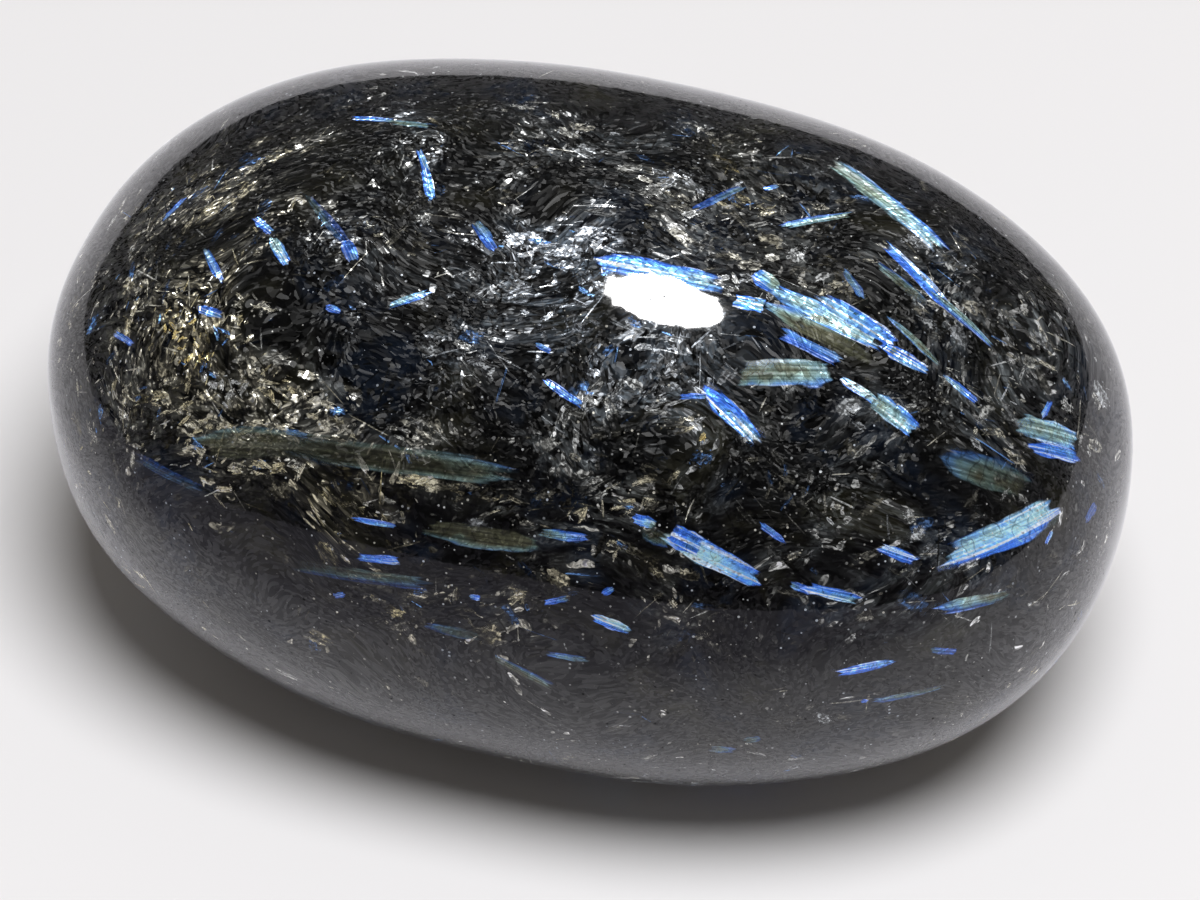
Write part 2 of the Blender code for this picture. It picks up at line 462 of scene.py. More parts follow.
# Splinters: pale and black fragments and hairline needles, thick in some places and rare in others
print("splinters")
splinters = {
    "layers": 4,
    "count": 9500,
    "tries": 4,  # for each, as most fall between the zones and are dropped
    "stray": 0.12,  # mm from a face's middle
    "evenShare": 0.12,  # how thick they lie between the zones, beside 1 in the thickest
    "turn": 0.7,  # of the zone's spread
    "tone": (0.3, 1.2),  # of the zone's warmth
    "light": (0.06, 1.2, 2.6),  # the least, how much more at most, how rare the bright ones are
    "darkZone": 0.3,  # share of that light where the zone has none of its own
    "needleShare": 0.38,
    "needleLength": (0.35, 1.6, 2.2),  # in mm, given as the blades'
    "needleWidth": (0.045, 0.09),
    "needleBow": 0.35,  # how far a needle's ends bow aside, in half widths
    "needleLight": 1.6,
    "shardLength": (0.16, 1.0, 2.0),
    "shardWidth": (0.2, 0.75),  # as a share of the length
    "blackShare": 0.30,
    "blackSize": (1.5, 1.3),  # beside the others' length and width
    "blackLight": 0.01,
    "steelShare": 0.08,
    "leastTone": 0.04,  # of all that aren't steel, at the cool end of their colours
    # place in the picture, reach in mm, grain angle, its spread, thickness, warmth, brightness. A
    # calm place has a thickness below zero
    "zones": [
        (150, 250, 3.0, 60, 30, 0.8, 0.5, 0.8),
        (230, 200, 3.0, 48, 25, 1.0, 0.6, 1.15),
        (310, 150, 2.6, 28, 25, 0.8, 0.4, 0.4),
        (185, 320, 2.4, 80, 35, 1.0, 0.8, 1.3),
        (135, 390, 2.2, 75, 35, 0.9, 0.5, 1.0),
        (260, 380, 2.0, -15, 50, 1.0, 0.6, 1.4),
        (330, 410, 1.6, -25, 40, 0.9, 0.5, 1.4),
        (230, 425, 2.0, -10, 30, 0.8, 0.6, 1.4),
        (300, 305, 1.8, -10, 30, 0.15, 0.2, 0.4),
        (275, 285, 1.1, -5, 20, -0.7, 0.2, 0.0),
        (315, 182, 1.0, 25, 20, -0.6, 0.6, 0.0),
        (480, 203, 1.0, 5, 20, -0.6, 0.6, 0.0),
        (560, 205, 1.0, 2, 20, -0.6, 0.6, 0.0),
        (640, 212, 1.0, -5, 20, -0.5, 0.6, 0.0),
        (360, 345, 1.8, -15, 30, 0.2, 0.1, 0.5),
        (420, 375, 1.8, -15, 30, 0.25, 0.1, 0.5),
        (330, 250, 1.6, -30, 70, 0.8, 0.3, 0.8),
        (400, 235, 1.8, -40, 70, 0.9, 0.3, 0.9),
        (440, 130, 2.4, 10, 60, 0.6, 0.2, 0.6),
        (530, 160, 2.4, -10, 50, 0.8, 0.3, 0.7),
        (640, 130, 2.2, -20, 40, 0.5, 0.2, 0.6),
        (700, 175, 2.4, -25, 50, 1.0, 0.4, 1.2),
        (790, 190, 2.0, 10, 50, 0.7, 0.3, 1.0),
        # the next three zones lie beside the soft box's highlight and are made brighter as a painted
        # sheen around it, over the splinters there
        (600, 238, 2.2, -5, 35, 1.0, 0.0, 1.9),
        (520, 250, 2.0, 30, 90, 1.0, 0.1, 1.8),
        (560, 275, 1.6, 20, 60, 1.0, 0.0, 2.5),
        (480, 310, 1.8, -30, 60, 0.9, 0.2, 0.8),
        (600, 360, 2.4, -25, 70, 0.8, 0.0, 0.45),
        (690, 350, 2.2, 20, 70, 0.8, 0.1, 0.9),
        (700, 240, 2.0, -20, 40, 0.7, 0.3, 1.1),
        (830, 260, 2.0, -20, 60, 0.8, 0.4, 0.9),
        (450, 440, 1.8, -20, 30, 0.5, 0.4, 0.8),
        (560, 450, 2.2, -15, 30, 0.4, 0.3, 0.0),
        (640, 420, 2.0, 15, 50, 0.6, 0.2, 0.4),
        (350, 500, 2.0, -40, 30, 0.7, 0.7, 1.1),
        (480, 492, 1.6, -8, 25, 0.7, 0.4, 0.9),
        (600, 500, 2.0, 15, 50, 0.5, 0.4, 0.5),
        (900, 300, 2.6, -35, 25, 0.9, 0.3, 1.1),
        (980, 300, 2.4, -45, 25, 0.8, 0.3, 0.9),
        (1000, 400, 2.4, -10, 40, 0.9, 0.3, 0.9),
        (1045, 330, 1.8, -60, 40, 0.8, 0.3, 0.9),
        (900, 440, 2.6, -20, 60, 0.3, 0.3, 0.4),
        (800, 480, 2.6, 0, 90, 0.35, 0.3, 0.75),
        (950, 560, 2.4, 25, 30, 0.5, 0.3, 0.4),
        (760, 560, 2.6, -10, 60, 0.3, 0.3, 0.5),
        (400, 590, 2.4, -20, 60, 0.4, 0.6, 0.3),
        (520, 600, 2.2, -15, 60, 0.4, 0.5, 0.3),
        (700, 620, 2.4, -5, 50, 0.3, 0.5, 0.3),
        (850, 640, 2.4, 10, 40, 0.3, 0.3, 0.4),
        (600, 700, 2.4, -5, 60, 0.2, 0.4, 0.3),
    ],
    "hiddenBelow": 0.05,  # where the stone faces the camera by less than this, zones are random
    "hiddenZones": 55,
    "hiddenZone": {  # between which values each is drawn
        "spread": (25, 70),
        "thickness": (0.25, 1),
        "warmth": (0.1, 0.8),
        "brightness": (0.4, 1),
        "reach": (2.0, 3.2),
    },
    # clusters: first end and last end in the picture, width in mm, how many, length of each in mm,
    # spread of their angles, warmth, brightness
    "clusters": [
        (182, 424, 292, 432, 0.35, 30, 0.7, 25, 0.6, 1.26),
        (290, 431, 345, 442, 0.4, 14, 0.8, 12, 0.4, 1.12),
        (186, 440, 204, 460, 0.5, 12, 0.6, 50, 0.6, 1.26),
        (206, 462, 315, 470, 0.35, 26, 0.7, 25, 0.6, 1.12),
        (408, 478, 500, 498, 0.35, 22, 0.8, 15, 0.6, 1.4),
        (438, 458, 456, 460, 0.4, 5, 0.6, 40, 0.3, 0.84),
        (404, 453, 424, 457, 0.3, 5, 0.5, 30, 0.4, 0.84),
        (330, 484, 374, 522, 0.7, 26, 0.6, 25, 0.7, 1.26),
        (464, 525, 490, 528, 0.1, 4, 0.7, 5, 0.1, 1.0),
        (565, 502, 586, 512, 0.6, 10, 0.6, 60, 0.5, 0.8),
        (514, 590, 526, 608, 0.5, 8, 0.6, 60, 0.7, 0.9),
        (586, 490, 610, 478, 0.5, 10, 0.8, 12, 0.2, 0.9),
        (364, 594, 397, 609, 0.3, 10, 0.7, 20, 0.7, 0.8),
        (450, 590, 472, 622, 0.6, 14, 0.6, 60, 0.5, 0.8),
        (162, 314, 206, 366, 1.1, 50, 0.35, 90, 1.3, 1.9),
        (202, 380, 241, 396, 0.7, 22, 0.5, 60, 0.2, 1.4),
        (262, 376, 296, 396, 0.8, 26, 0.6, 50, 0.7, 1.4),
        (296, 399, 338, 412, 0.6, 20, 0.6, 30, 0.5, 1.26),
        (124, 392, 187, 408, 0.6, 26, 0.7, 50, 0.6, 0.98),
        (198, 300, 237, 336, 1.0, 30, 0.6, 60, 0.5, 0.9),
        (237, 298, 271, 308, 0.5, 14, 0.6, 40, 0.4, 0.8),
        (174, 246, 213, 204, 1.0, 28, 0.9, 18, 0.6, 0.8),
        (228, 204, 252, 184, 0.8, 16, 0.8, 20, 0.6, 0.8),
        (252, 166, 282, 152, 0.4, 12, 0.8, 30, 0.5, 0.7),
        (320, 216, 342, 244, 0.8, 18, 0.6, 60, 0.1, 1.0),
        (290, 230, 310, 250, 0.7, 14, 0.5, 70, 0.1, 1.0),
        (279, 258, 302, 278, 0.6, 10, 0.8, 20, 0.5, 0.6),
        (369, 220, 422, 246, 1.0, 34, 0.6, 50, 0.4, 1.0),
        (422, 120, 459, 132, 0.4, 14, 0.7, 20, 0.5, 0.8),
        # the next three clusters lie at the soft box's highlight: the first and last are pale streaks
        # made bright as a painted sheen around it, and the middle one is a painted glint at its right
        # end, drawn as pale splinters
        (504, 240, 633, 238, 1.3, 60, 0.9, 16, 0.0, 1.3),
        (718, 278, 734, 291, 0.6, 16, 0.5, 30, 0.2, 1.6),
        (615, 328, 680, 348, 0.8, 26, 1.0, 14, 0.1, 1.1),
        (800, 280, 810, 292, 0.4, 8, 0.4, 60, 0.3, 1.3),
        (888, 332, 915, 352, 0.5, 12, 0.5, 60, 0.3, 1.2),
        (658, 176, 739, 194, 0.9, 44, 0.7, 35, 0.1, 1.0),
        (716, 158, 735, 174, 0.6, 12, 0.5, 60, 0.9, 0.9),
        (716, 196, 777, 210, 0.7, 26, 0.6, 50, 0.6, 1.0),
        (815, 262, 859, 294, 1.0, 20, 0.9, 40, 0.5, 0.7),
        (661, 430, 696, 427, 0.3, 8, 0.9, 12, 0.5, 0.9),
        (697, 434, 707, 437, 0.3, 6, 0.3, 90, 1.3, 1.0),
        (642, 474, 673, 482, 0.5, 12, 0.6, 40, 0.5, 0.8),
        (619, 500, 652, 508, 0.5, 12, 0.6, 40, 0.5, 0.9),
        (785, 474, 798, 481, 0.4, 4, 0.5, 90, 0.3, 0.8),
        (608, 545, 619, 553, 0.4, 5, 0.5, 60, 0.5, 0.8),
        (621, 544, 652, 560, 0.1, 5, 0.9, 6, 0.6, 0.8),
        (405, 425, 470, 450, 0.5, 14, 1.2, 10, 0.3, 0.7),
        (455, 480, 545, 500, 0.7, 20, 0.7, 25, 0.5, 1.0),
        (765, 470, 815, 500, 0.9, 18, 0.7, 60, 0.3, 1.0),
        (380, 405, 520, 470, 1.6, 20, 1.0, 25, 0.3, 0.6),
        (560, 400, 700, 420, 1.6, 26, 0.8, 60, 0.2, 0.6),
    ],
    "hiddenClusters": 130,
    "hiddenCluster": {
        "turn": 0.6,  # in radians
        "run": (0.5, 4.0),
        "width": (0.3, 1.1),
        "count": (10, 22),  # the least, and how many more for each mm of width
        "length": (0.5, 0.9),
        "spreads": [15, 25, 40, 60],
        "warmth": (0.0, 0.8),
        "brightness": (0.7, 1.0),
    },
    "member": {
        "stray": 0.35,  # from the cluster's middle line, as a share of its width
        "length": (0.35, 1.25),  # beside the cluster's
        "thinShare": 0.3,
        "thinWidth": (0.05, 0.10),
        "width": (0.22, 0.6),  # as a share of the length
        "light": (0.3, 0.9, 1),  # as the splinters' own
        "tone": (0.6, 1.1),
    },
}


def addSplinter(point, normal, along, length, width, tone, strength, isNeedle):
    bow = dice.normal(0, splinters["needleBow"]) if isNeedle else 0.0
    seed = dice.uniform(0, seedLimit)
    tone = 0.0 if seed % 1 < splinters["steelShare"] else max(tone, splinters["leastTone"])
    look = (tone, strength, 1.0 if isNeedle else 0.0)
    size = (length * millimetre, width * millimetre)
    splinterMarks.append(newMark(point, normal, along, *size, seed, look, bow))


dice = np.random.default_rng(7)
splinterMarks = []
zones = []
for x, y, reach, angle, spread, thickness, warmth, bright in splinters["zones"]:
    point, normal = seenAt(x, y)
    zones.append((point, reach, grainAt(normal, angle), spread, thickness, warmth, bright))
for i in range(splinters["hiddenZones"]):
    point, normal, grain = hiddenPoint(splinters["hiddenBelow"])
    *values, reach = [draw.uniform(*limits) for limits in splinters["hiddenZone"].values()]
    zones.append((point, reach, grain, *values))
zonePoints = np.array([list(z[0]) for z in zones])
zoneReach = np.array([z[1] for z in zones]) * millimetre
zoneGrain = np.array([list(z[2]) for z in zones])
zoneValues = np.array([z[3:] for z in zones])
leastWeight = 1e-6  # of a zone at a point, however far off it is


def zonesAt(point):
    # how thick the splinters lie at a point, and each zone's share in what they look like there
    distance = np.linalg.norm(zonePoints - point, axis=1) / zoneReach
    weight = np.exp(-distance * distance)
    share = weight + leastWeight
    return (weight * zoneValues[:, 1]).sum(), (share / share.sum())[:, None]


picks = splinters["count"] * splinters["tries"]
for face in dice.choice(len(faceAreas), size=picks, p=faceAreas / faceAreas.sum()):
    point = faceMiddles[face] + dice.uniform(-1, 1, 3) * splinters["stray"] * millimetre
    thickness, share = zonesAt(point)
    if dice.random() > splinters["evenShare"] + thickness:
        continue
    normal = Vector(faceNormals[face])
    grain = alongSurface(Vector((zoneGrain * share).sum(0)), normal)
    spread, _, warmth, bright = (zoneValues * share).sum(0)
    angle = math.radians(dice.normal(0, spread * splinters["turn"]))
    along = turned(grain, normal, angle)
    isNeedle = dice.random() < splinters["needleShare"]
    if isNeedle:
        length = mostlySmall(dice, *splinters["needleLength"])
        width = dice.uniform(*splinters["needleWidth"])
    else:
        length = mostlySmall(dice, *splinters["shardLength"])
        width = length * dice.uniform(*splinters["shardWidth"])
    darkZone = splinters["darkZone"]
    strength = mostlySmall(dice, *splinters["light"]) * (darkZone + (1 - darkZone) * bright)
    if isNeedle:
        strength *= splinters["needleLight"]
        along = turned(along, normal, angle)  # needles lie looser
    if dice.random() < splinters["blackShare"]:
        length *= splinters["blackSize"][0]
        width *= splinters["blackSize"][1]
        strength = splinters["blackLight"]
    tone = warmth * dice.uniform(*splinters["tone"])
    addSplinter(point, normal, along, length, width, tone, strength, isNeedle)
    if len(splinterMarks) >= splinters["count"]:
        break
clusters = []
for x0, y0, x1, y1, *values in splinters["clusters"]:
    clusters.append((seenAt(x0, y0)[0], seenAt(x1, y1)[0], *values))
hidden = splinters["hiddenCluster"]
for i in range(splinters["hiddenClusters"]):
    point, normal, grain = hiddenPoint(splinters["hiddenBelow"])
    along = turned(grain, normal, draw.gauss(0, hidden["turn"]))
    last = point + along * draw.uniform(*hidden["run"]) * millimetre
    width = draw.uniform(*hidden["width"])
    count = int(hidden["count"][0] + hidden["count"][1] * width)
    length = draw.uniform(*hidden["length"])
    spread = draw.choice(hidden["spreads"])
    warmth = draw.uniform(*hidden["warmth"])
    bright = draw.uniform(*hidden["brightness"])
    clusters.append((point, last, width, count, length, spread, warmth, bright))
member = splinters["member"]
for first, last, width, count, length, spread, warmth, bright in clusters:
    run = (last - first).normalized()
    for i in range(count):
        point = first.lerp(last, dice.random())
        point, normal, face, reach = surface.find_nearest(point)
        side = normal.cross(run).normalized()
        point, normal, face, reach = surface.find_nearest(
            point + side * dice.normal(0, member["stray"]) * width * millimetre
        )
        angle = math.radians(dice.normal(0, spread))
        along = turned(alongSurface(run, normal), normal, angle)
        size = length * dice.uniform(*member["length"])
        thin = dice.random() < member["thinShare"]
        wide = dice.uniform(*member["thinWidth"]) if thin else size * dice.uniform(*member["width"])
        strength = bright * mostlySmall(dice, *member["light"])
        tone = warmth * dice.uniform(*member["tone"])
        addSplinter(point, normal, along, size, wide, tone, strength, thin)
print(len(splinterMarks), "splinters")


# Each face holds the few marks that lie over it, and each corner its place along and across them
covering = {
    "faceReach": 0.20,  # mm from a face's middle to its corners, at most
    "nearness": 1.2,  # how far off faces are looked for, in half lengths
    "margin": 1.15,  # how far a mark's ragged edges may reach, in half lengths and half widths
    "sameSide": 0.2,  # how far a face has to look the mark's way
    "uncovered": 9.0,  # the place of a corner that no mark reaches
}


def writeMarks(marks, layers, name):
    marks = np.array(marks)
    points, normals, alongs, acrosses = marks[:, 0:3], marks[:, 3:6], marks[:, 6:9], marks[:, 9:12]
    halfLengths, halfWidths, bows, seeds = marks[:, 12], marks[:, 13], marks[:, 14], marks[:, 15]
    looks = marks[:, 16:19]
    faceReach = covering["faceReach"] * millimetre
    touchedFaces = []
    touchingMarks = []
    for i in range(len(marks)):
        reach = math.hypot(halfLengths[i], halfWidths[i]) * covering["nearness"] + faceReach
        near = [found[1] for found in faceTree.find_range(points[i], reach)]
        near = np.array(near, dtype=int)
        offset = faceMiddles[near] - points[i]
        u = offset @ alongs[i]
        v = offset @ acrosses[i] - bows[i] * halfWidths[i] * (u / halfLengths[i]) ** 2
        inside = np.abs(u) < halfLengths[i] * covering["margin"] + faceReach
        inside &= np.abs(v) < halfWidths[i] * covering["margin"] + faceReach
        inside &= faceNormals[near] @ normals[i] > covering["sameSide"]
        near = near[inside]
        touchedFaces.append(near)
        touchingMarks.append(np.full(len(near), i))
    touchedFaces = np.concatenate(touchedFaces)
    touchingMarks = np.concatenate(touchingMarks)
    order = np.lexsort((-touchingMarks, touchedFaces))  # by face, the topmost mark first
    touchedFaces = touchedFaces[order]
    touchingMarks = touchingMarks[order]
    starts = np.flatnonzero(np.r_[True, touchedFaces[1:] != touchedFaces[:-1]])
    counts = np.diff(np.r_[starts, len(touchedFaces)])
    rank = np.arange(len(touchedFaces)) - np.repeat(starts, counts)
    loopVertex = meshValues(stoneMesh.loops, "vertex_index", kind=int)
    loopCounts = meshValues(stoneMesh.polygons, "loop_total", kind=int)
    loopFace = np.repeat(np.arange(len(stoneMesh.polygons)), loopCounts)
    print(name, "most marks on one face:", counts.max(), "left out:", int((rank >= layers).sum()))
    for layer in range(layers):
        chosen = np.full(len(stoneMesh.polygons), -1)
        chosen[touchedFaces[rank == layer]] = touchingMarks[rank == layer]
        place = np.full((len(stoneMesh.loops), 3), covering["uncovered"])
        held = np.flatnonzero(chosen[loopFace] >= 0)
        mark = chosen[loopFace[held]]
        offset = corners[loopVertex[held]] - points[mark]
        u = (offset * alongs[mark]).sum(1) / halfLengths[mark]
        v = (offset * acrosses[mark]).sum(1) / halfWidths[mark] - bows[mark] * u * u
        place[held] = np.stack([u, v, seeds[mark]], axis=1)
        keepOnMesh(f"{name}Place{layer}", "CORNER", place)
        look = np.zeros((len(stoneMesh.polygons), 3))
        look[chosen >= 0] = looks[chosen[chosen >= 0]]
        keepOnMesh(f"{name}Look{layer}", "FACE", look)


writeMarks(bladeMarks, blades["layers"], "blade")
writeMarks(splinterMarks, splinters["layers"], "splinter")


# How thick, warm and bright the splinters lie at each point, for the grains too small to place
print("zones")
zoneLook = np.empty((len(corners), 3))
for i, corner in enumerate(corners):
    thickness, share = zonesAt(corner)
    zoneLook[i] = (max(0.0, min(1.0, thickness)), *(zoneValues[:, 2:4] * share).sum(0))
keepOnMesh("zoneLook", "POINT", zoneLook)


# Polished nuummite: fine blades of amphibole in a near black ground, lapped and buffed to a wet gloss.
# The clear gloss mirrors the room, and under it each crystal has its own dull sheen.
print("material")
polish = {
    "ground": "#09090a",
    "olive": "#1b1a12",
    "navy": "#0b121d",
    "steel": "#6f9ce0",
    "cool": "#b4bcc8",
    "pale": "#c4c1b4",
    "warm": "#cabe93",
    "gold": "#f6dc94",
    "grain": "#b9b6ac",
    "hazeCool": "#444d57",
    "hazeGrey": "#50514e",
    "hazeWarm": "#625a44",
    "bladeOlive": "#85866c",
    "bladeGreen": "#9db9ac",
    "bladePale": "#a0d0e0",
    "bladeSky": "#78b4fb",
    "bladeBlue": "#5796fb",
    "bladeDeep": "#4176e8",
    "bladeWhite": "#e9f3fd",
    "roughness": 0.45,
    "mineralIor": 1.5,
    "mineralGloss": 0.15,
    "metalShare": 0.35,  # of the brightest crystals, which shine as thin metal does
    "glossIor": 1.41,
    "glossRoughness": 0.04,
}
# How many of each pattern lie along a millimetre: along the grain and across it, where they differ
perMillimetre = {
    "drift": 0.13,
    "bend": 1.6,
    "facets": (4.4, 9.5, 9.5),
    "fine": 6.0,
    "clouds": 0.30,
    "fibres": (0.5, 2.4, 2.4),
    "laths": (0.9, 3.2, 3.2),
    "slivers": (4.5, 1.6, 3.0),
    "sparks": 4.2,
}
# How many lie along half a mark's length and across half its width, and how far apart the marks'
# own seeds draw them
perMark = {
    "ragged": (2.25, 1.5, 10.5),
    "broken": (1.0, 0.9, 7.0),
    "lamellae": (0.45, 3.6, 5.0),
    "crossing": (3.2, 0.7, 3.0),
}
patterns = {
    "grainTurn": (0.2, 0.1, -0.25),
    "swirl": (7.0, 7.0, 7.0),  # mm by which the drift carries the patterns off
    "bending": (0.55, 0.55, 0.55),  # mm by which the bend does
    "facetContrast": 3.0,
    "facetToneAndGlint": (2.6, 0.2),  # such a pair multiplies, and then adds
    "splinterLight": (0.62, 0.38),
    "zoneLift": 0.14,  # how far a zone's brightness lifts the patches
    "fibreShine": 0.12,
    "streaks": 5.0,
    "streakBend": 14.0,
    "hollowShare": 0.35,
    "sparkContrast": 1.5,
    "pitShare": 0.16,
    "bladeFacets": (0.35, 0.95),
    "endSteps": (1.3, -0.70),
    "sideSteps": (-1.2, 0.50),
    "narrowing": 2.6,
    "narrowingDepth": 0.7,
    "crossingBlue": 0.7,
    "crossingMiddle": 0.20,
    "cracks": 0.47,  # the crossing noise's level that a crack follows
    "facetTurn": (0.9, 0.9, 0.9),
    "lapping": (0.02, 0.02, 0.02),
}
noiseMiddle = (0.5, 0.5, 0.5)
nuummite = bpy.data.materials.new("polished nuummite")
nuummite.use_nodes = True
tree = nuummite.node_tree
tree.nodes.clear()


def addRamp(fac, stops):
    # stops: place along the ramp -> sRGB colour
    ramp = addNode(tree, "ValToRGB", {"Fac": fac})
    elements = ramp.color_ramp.elements
    while len(elements) < len(stops):
        elements.new(0.5)
    for element, (position, colour) in zip(elements, sorted(stops.items())):
        element.position = position
        element.color = hexToLinear(colour)
    return ramp


def layOver(cover, tone, light, shines):
    # lays a lit pattern over what is there, and notes how much it shines
    lit = addNode(tree, "VectorMath", {0: tone, "Scale": light}, operation="SCALE")
    look["colour"] = addNode(tree, "MixRGB", {0: cover, 1: look["colour"], 2: lit})
    if shines:
        shine = addNode(tree, "Math", {0: cover, 1: light}, operation="MULTIPLY")
        look["shine"] = addNode(tree, "Math", {0: look["shine"], 1: shine}, operation="MAXIMUM")


def readMark(name, layer):
    # what the surface holds of a mark here: the place along and across it, its look and its chances
    placed = addNode(tree, "Attribute", attribute_name=f"{name}Place{layer}")
    values = addNode(tree, "Attribute", attribute_name=f"{name}Look{layer}")
    spot = addNode(tree, "SeparateXYZ", {0: placed.outputs["Vector"]})
    values = addNode(tree, "SeparateXYZ", {0: values.outputs["Vector"]})
    chance = addNode(tree, "TexWhiteNoise", {"W": spot.outputs["Z"]}, noise_dimensions="1D")
    return placed.outputs["Vector"], spot, values, chance.outputs["Color"]


def markPattern(placed, name, detail):
    # a noise that keeps to a mark's own length and width
    space = addNode(tree, "VectorMath", {0: placed, 1: perMark[name]}, operation="MULTIPLY")
    return addNode(tree, "TexNoise", {"Vector": space, "Scale": 1.0, "Detail": detail})


place = addNode(tree, "TexCoord")
millimetres = addNode(
    tree, "VectorMath", {0: place.outputs["Object"], "Scale": 1000.0}, operation="SCALE"
)
drift = addNode(
    tree,
    "TexNoise",
    {"Vector": millimetres, "Scale": perMillimetre["drift"], "Detail": 1.0},
)
drift = addNode(tree, "VectorMath", {0: drift.outputs["Color"], 1: noiseMiddle}, operation="SUBTRACT")
flow = addNode(
    tree,
    "VectorMath",
    {0: drift, 1: patterns["swirl"], 2: millimetres},
    operation="MULTIPLY_ADD",
)
zoneHere = addNode(tree, "Attribute", attribute_name="zoneLook")
zoneHere = addNode(tree, "SeparateXYZ", {0: zoneHere.outputs["Vector"]})

bend = addNode(
    tree, "TexNoise", {"Vector": flow, "Scale": perMillimetre["bend"], "Detail": 1.0}
)
bentFlow = addNode(
    tree,
    "VectorMath",
    {0: bend.outputs["Color"], 1: patterns["bending"], 2: flow},
    operation="MULTIPLY_ADD",
)

# facets: the breaks of the crystals, each with its own tilt and brightness; the brightest few are
# painted glints beside their own tone. They are drawn 0.1 by 0.2 mm, because the stone's finest ones
# are too small to show
facetSpace = addNode(
    tree,
    "Mapping",
    {"Vector": bentFlow, "Rotation": patterns["grainTurn"], "Scale": perMillimetre["facets"]},
)
facets = addNode(tree, "TexVoronoi", {"Vector": facetSpace, "Scale": 1.0})
facetChances = addNode(tree, "SeparateColor", {0: facets.outputs["Color"]})
facetTilt = addNode(
    tree, "VectorMath", {0: facets.outputs["Color"], 1: noiseMiddle}, operation="SUBTRACT"
)
fine = addNode(
    tree, "TexNoise", {"Vector": bentFlow, "Scale": perMillimetre["fine"], "Detail": 1.0}
)
fineLight = addNode(
    tree,
    "MapRange",
    {"Value": fine, "From Min": 0.36, "From Max": 0.66, "To Min": 0.3, "To Max": 1.7},
)
facetToneAndGlint = addNode(
    tree, "Math", {0: facetChances.outputs["Red"], 1: patterns["facetContrast"]}, operation="POWER"
)
times, plus = patterns["facetToneAndGlint"]
facetToneAndGlint = addNode(tree, "Math", {0: facetToneAndGlint, 1: times, 2: plus}, operation="MULTIPLY_ADD")
facetToneAndGlint = addNode(tree, "Math", {0: facetToneAndGlint, 1: fineLight}, operation="MULTIPLY")

# patches: places a few millimetres across where the crystals turn their dark sides up
clouds = addNode(
    tree, "TexNoise", {"Vector": flow, "Scale": perMillimetre["clouds"], "Detail": 2.0}
)
patches = addNode(tree, "SeparateColor", {0: clouds.outputs["Color"]})
patches = addNode(
    tree,
    "Math",
    {0: zoneHere.outputs["Z"], 1: patterns["zoneLift"], 2: patches.outputs["Green"]},
    operation="MULTIPLY_ADD",
)
patchLight = addNode(
    tree,
    "MapRange",
    {"Value": patches, "From Min": 0.54, "From Max": 0.65, "To Min": 0.10, "To Max": 1.4},
    interpolation_type="SMOOTHSTEP",
)
grainLight = addNode(tree, "Math", {0: facetToneAndGlint, 1: patchLight}, operation="MULTIPLY")
times, plus = patterns["splinterLight"]
splinterLight = addNode(tree, "Math", {0: facetToneAndGlint, 1: times, 2: plus}, operation="MULTIPLY_ADD")
splinterLight = addNode(tree, "Math", {0: splinterLight, 1: patchLight}, operation="MULTIPLY")

# ground: black, clouded with olive and navy, with faint fibres along the grain
groundTone = addRamp(
    clouds,
    {
        0.36: polish["navy"],
        0.46: polish["ground"],
        0.54: polish["ground"],
        0.68: polish["olive"],
    },
)
fibreSpace = addNode(
    tree,
    "Mapping",
    {"Vector": bentFlow, "Rotation": patterns["grainTurn"], "Scale": perMillimetre["fibres"]},
)
fibres = addNode(tree, "TexNoise", {"Vector": fibreSpace, "Scale": 1.0, "Detail": 2.0})
fibreLight = addNode(
    tree,
    "MapRange",
    {"Value": fibres, "From Min": 0.38, "From Max": 0.70, "To Min": 0.5, "To Max": 1.75},
)
softLight = addNode(
    tree,
    "MapRange",
    {"Value": fine, "From Min": 0.36, "From Max": 0.66, "To Min": 0.85, "To Max": 1.2},
)
fibreLight = addNode(tree, "Math", {0: fibreLight, 1: softLight}, operation="MULTIPLY")
groundColour = addNode(tree, "VectorMath", {0: groundTone, "Scale": fibreLight}, operation="SCALE")
look = {"colour": groundColour}
look["shine"] = addNode(tree, "Math", {0: fibres, 1: patterns["fibreShine"]}, operation="MULTIPLY")

# haze: pale streaks just under the surface where the splinters lie thick
hazeLight = addNode(
    tree,
    "MapRange",
    {"Value": fibres, "From Min": 0.43, "From Max": 0.60, "To Min": 0.0, "To Max": 0.95},
)
hazeCover = addNode(tree, "Math", {0: hazeLight, 1: zoneHere.outputs["X"]}, operation="MULTIPLY")
hazeTone = addRamp(
    zoneHere.outputs["Y"],
    {0.0: polish["hazeCool"], 0.5: polish["hazeGrey"], 1.0: polish["hazeWarm"]},
)
layOver(hazeCover, hazeTone, splinterLight, False)

